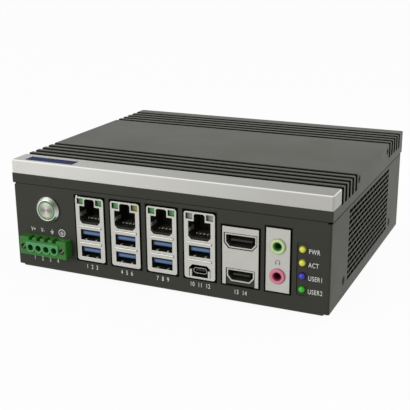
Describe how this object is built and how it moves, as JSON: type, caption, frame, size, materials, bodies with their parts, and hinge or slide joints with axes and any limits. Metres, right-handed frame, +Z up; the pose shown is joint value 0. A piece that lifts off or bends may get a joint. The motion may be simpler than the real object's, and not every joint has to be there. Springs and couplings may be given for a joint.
{
  "type": "edge computer",
  "caption": "Fanless box computer with a finned metal cover, vented sides and one row of ports, lamps and a push button along its front.",
  "frame": {"origin": "under the middle of the whole object, at the soles of its feet", "axes": "+X to the right of the port row as seen from the front, +Y from the front to the back, +Z up"},
  "size_m": [0.19, 0.165, 0.0666],
  "materials": {
    "cover_paint": "grey anodised, satin",
    "trim_silver": "silver, fine blasted",
    "inlay_blue": "dark blue print film, satin",
    "case_paint": "dark grey powder coat, fine texture",
    "screw_black": "black zinc, satin",
    "screw_steel": "plated, satin",
    "bare_aluminium": "milled",
    "foot_rubber": "matt",
    "board_green": "solder resist, satin",
    "standoff_brass": "turned",
    "chip_lid": "nickel plated",
    "pad_grey": "soft, matt",
    "cell_steel": "polished",
    "socket_black": "moulded, satin",
    "port_steel": "bright nickel plate, satin",
    "tongue_blue": "moulded, satin",
    "contact_gold": "plated, bright",
    "lamp_green": "clear tinted",
    "lamp_amber": "clear tinted",
    "lamp_clear": "milky",
    "jack_green": "moulded",
    "jack_pink": "moulded",
    "led_yellow": "tinted resin",
    "led_blue": "tinted resin",
    "led_green": "tinted resin",
    "plug_green": "moulded, satin",
    "plug_face_green": "moulded, satin",
    "button_steel": "turned, fine brushed",
    "button_light": "translucent green"
  },
  "bodies": {
    "chassis": {"heatsink_cover": "cover_paint", "trim_bar": "trim_silver", "trim_bar_inlay": "inlay_blue", "chassis_tray": "case_paint", "left_side_panel": "case_paint", "right_side_panel": "case_paint", "side_panel_screws": "screw_black", "bottom_cover_screws": "screw_black", "heatsink_side_screws": "screw_black", "trim_bar_screws": "screw_steel", "board_screws": "screw_steel", "mount_nuts": "screw_steel", "terminal_clamp_screws": "screw_steel", "terminal_flange_screws": "screw_steel", "corner_posts": "bare_aluminium", "heat_block": "bare_aluminium", "rubber_feet": "foot_rubber", "mainboard": "board_green", "storage_card": "board_green", "board_standoffs": "standoff_brass", "processor": "chip_lid", "thermal_pad": "pad_grey", "coin_cell": "cell_steel", "storage_socket": "socket_black", "coin_cell_holder": "socket_black", "port_stack_insert_1": "socket_black", "port_stack_insert_2": "socket_black", "port_stack_insert_3": "socket_black", "port_stack_insert_4": "socket_black", "type_c_tongue": "socket_black", "video_socket_upper": "socket_black", "video_socket_lower": "socket_black", "audio_jack_body": "socket_black", "led_holder": "socket_black", "port_stack_shell_1": "port_steel", "port_stack_shell_2": "port_steel", "port_stack_shell_3": "port_steel", "port_stack_shell_4": "port_steel", "port_shield_springs": "port_steel", "type_c_shell": "port_steel", "video_shell": "port_steel", "video_socket_rims": "port_steel", "audio_plate": "port_steel", "type_a_tongues": "tongue_blue", "lan_contacts": "contact_gold", "port_lamps_green": "lamp_green", "port_lamp_amber": "lamp_amber", "port_lamps_clear": "lamp_clear", "audio_jack_green": "jack_green", "audio_jack_pink": "jack_pink", "status_leds_yellow": "led_yellow", "status_led_blue": "led_blue", "status_led_green": "led_green", "terminal_plug_body": "plug_green", "terminal_header": "plug_green", "terminal_plug_face": "plug_face_green", "power_button_bezel": "button_steel", "power_button_nut": "button_steel"},
    "power_button": {"power_button_cap": "button_steel", "power_button_light_ring": "button_light"}
  },
  "joints": [
    {"name": "power_button_press", "type": "slide", "parent": "chassis", "child": "power_button", "axis": [0, 1, 0], "range_m": [0, 0.0015], "stiffness_N_per_m": 1500, "springref_m": -0.001}
  ]
}
